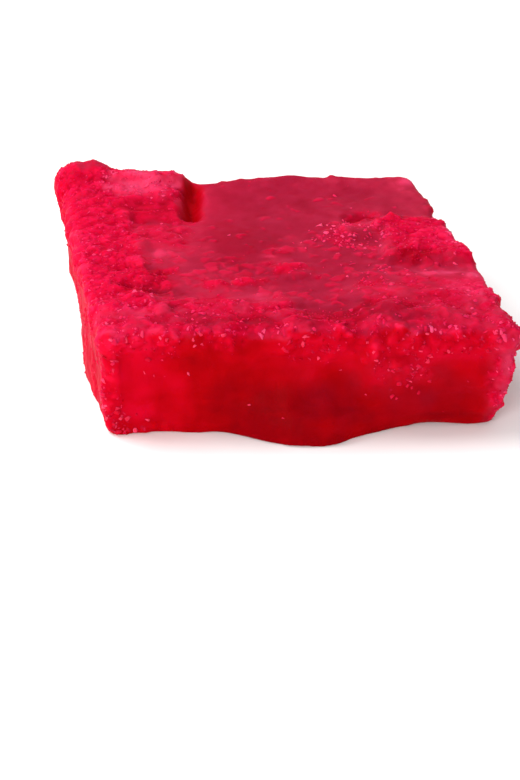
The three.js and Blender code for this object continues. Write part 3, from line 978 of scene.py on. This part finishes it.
def random_sizes(kind, random):
    span = kind["largest"] - kind["smallest"]
    return kind["smallest"] + span * random.random(kind["count"]) ** kind["prevail"]


def make_grains(body):
    """The fine grains of the crust."""
    random = np.random.default_rng(GRAINS["seed"])
    places = scattered_places(body, grain_density, random, GRAINS["count"])
    return joined_grains("sugar_grains", GRAINS, random, places, random_sizes(GRAINS, random))


def make_crumbs(body):
    """The larger crumbs: scattered ones, and the single ones that stand out."""
    random = np.random.default_rng(CRUMBS["seed"])
    scattered = scattered_places(body, crumb_density, random, CRUMBS["count"])
    single_places = [(x, y, TOP) for x, y, _ in TOP_CRUMBS]
    single_places += [(x, FRONT, z) for x, z, _ in FRONT_CRUMBS]
    single_sizes = [size for *_, size in TOP_CRUMBS + FRONT_CRUMBS]
    place, out, clear, pale = named_places(body, single_places)
    single = [place, out, clear, pale + SINGLE_PALER]
    places = [np.concatenate(pair) for pair in zip(scattered, single)]
    sizes = np.concatenate((random_sizes(CRUMBS, random), single_sizes))
    return joined_grains("sugar_crumbs", CRUMBS, random, places, sizes)


# ---- Materials ----------------------------------------------------------------------------------

def new_material(name):
    material = bpy.data.materials.new(name)
    material.use_nodes = True
    tree = material.node_tree
    return material, tree, tree.nodes["Principled BSDF"]


def attribute(tree, name):
    node = tree.nodes.new("ShaderNodeAttribute")
    node.attribute_name = name
    return node.outputs["Fac"]


def ramp(tree, factor, stops):
    node = tree.nodes.new("ShaderNodeValToRGB")
    elements = node.color_ramp.elements
    while len(elements) < len(stops):
        elements.new(0.5)
    for element, (place, color) in zip(elements, stops):
        element.position = place
        element.color = (*color, 1)
    tree.links.new(factor, node.inputs["Fac"])
    return node.outputs["Color"]


# Places of the colour sockets among those of a Mix node.
MIX_FACTOR, MIX_FIRST, MIX_SECOND, MIX_RESULT = 0, 6, 7, 2


def mix(tree, factor, first, second):
    """The first colour where the factor is 0, and the second where it is 1."""
    node = tree.nodes.new("ShaderNodeMix")
    node.data_type = "RGBA"
    for output, socket in ((factor, MIX_FACTOR), (first, MIX_FIRST), (second, MIX_SECOND)):
        tree.links.new(output, node.inputs[socket])
    return node.outputs[MIX_RESULT]


def noise_texture(tree, size, detail):
    """Noise from 0 to 1 whose hills are about size metres apart."""
    coordinates = tree.nodes.new("ShaderNodeTexCoord")
    node = tree.nodes.new("ShaderNodeTexNoise")
    node.inputs["Scale"].default_value = 1 / size
    node.inputs["Detail"].default_value = detail
    tree.links.new(coordinates.outputs["Object"], node.inputs["Vector"])
    return node.outputs["Fac"]


def calculate(tree, operation, *values):
    node = tree.nodes.new("ShaderNodeMath")
    node.operation = operation
    for i, value in enumerate(values):
        if isinstance(value, bpy.types.NodeSocket):
            tree.links.new(value, node.inputs[i])
        else:
            node.inputs[i].default_value = value
    return node.outputs["Value"]


def speckled(tree, tone, speckles):
    """A tone, shifted up and down by fine noise."""
    texture = noise_texture(tree, speckles["size"] * MM, speckles["detail"])
    shift = calculate(tree, "MULTIPLY_ADD", texture, speckles["strength"], speckles["shift"])
    return calculate(tree, "ADD", tone, shift)


def set_finish(tree, shader, color, finish):
    """Colour, gloss, the light that scatters inside the sugar, and the finest bumps."""
    tree.links.new(color, shader.inputs["Base Color"])
    shader.inputs["Roughness"].default_value = finish["roughness"]
    shader.inputs["Specular IOR Level"].default_value = finish["specular"]
    shader.inputs["Subsurface Weight"].default_value = finish["scattered"]
    shader.inputs["Subsurface Radius"].default_value = REACH_OF_COLORS
    shader.inputs["Subsurface Scale"].default_value = finish["reach"] * MM
    bump = tree.nodes.new("ShaderNodeBump")
    bump.inputs["Distance"].default_value = finish["bump_height"] * MM
    texture = noise_texture(tree, finish["bump_size"] * MM, BUMP_DETAIL)
    tree.links.new(texture, bump.inputs["Height"])
    tree.links.new(bump.outputs["Normal"], shader.inputs["Normal"])


def set_sugar_material():
    material, tree, shader = new_material("set_sugar")
    film = ramp(tree, speckled(tree, attribute(tree, "film_tone"), FILM_SPECKLES), FILM_COLORS)
    # The cut front's colour carries painted light through it and painted shade at its foot and in the notch.
    clear = ramp(tree, speckled(tree, attribute(tree, "painted_glow"), CLEAR_SPECKLES), CLEAR_COLORS)
    crust = ramp(tree, attribute(tree, "crust_tone_and_shade"), CRUST_COLORS)
    front_crust = ramp(tree, attribute(tree, "crust_tone_and_shade"), FRONT_CRUST_COLORS)
    smooth = mix(tree, attribute(tree, "clear"), film, clear)
    crusty = mix(tree, attribute(tree, "clear"), crust, front_crust)
    color = mix(tree, attribute(tree, "crust_colored"), smooth, crusty)
    set_finish(tree, shader, color, BODY_FINISH)
    return material


def grain_material(name, top_colors, front_colors):
    material, tree, shader = new_material(name)
    top = ramp(tree, attribute(tree, "tone"), top_colors)
    front = ramp(tree, attribute(tree, "tone"), front_colors)
    set_finish(tree, shader, mix(tree, attribute(tree, "clear"), top, front), GRAIN_FINISH)
    return material


def finish_piece(obj, material):
    set_points(obj.data, points_of(obj.data) * MM)
    obj.data.materials.clear()
    obj.data.materials.append(material)
    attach(obj, "root")


make_camera()
make_lights()
make_floor()
candy = make_body()
grains = make_grains(candy)
crumbs = make_crumbs(candy)
finish_piece(candy, set_sugar_material())
finish_piece(grains, grain_material("fine_sugar", GRAIN_COLORS, FRONT_GRAIN_COLORS))
finish_piece(crumbs, grain_material("pale_sugar", CRUMB_COLORS, FRONT_CRUMB_COLORS))
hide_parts(NODE)
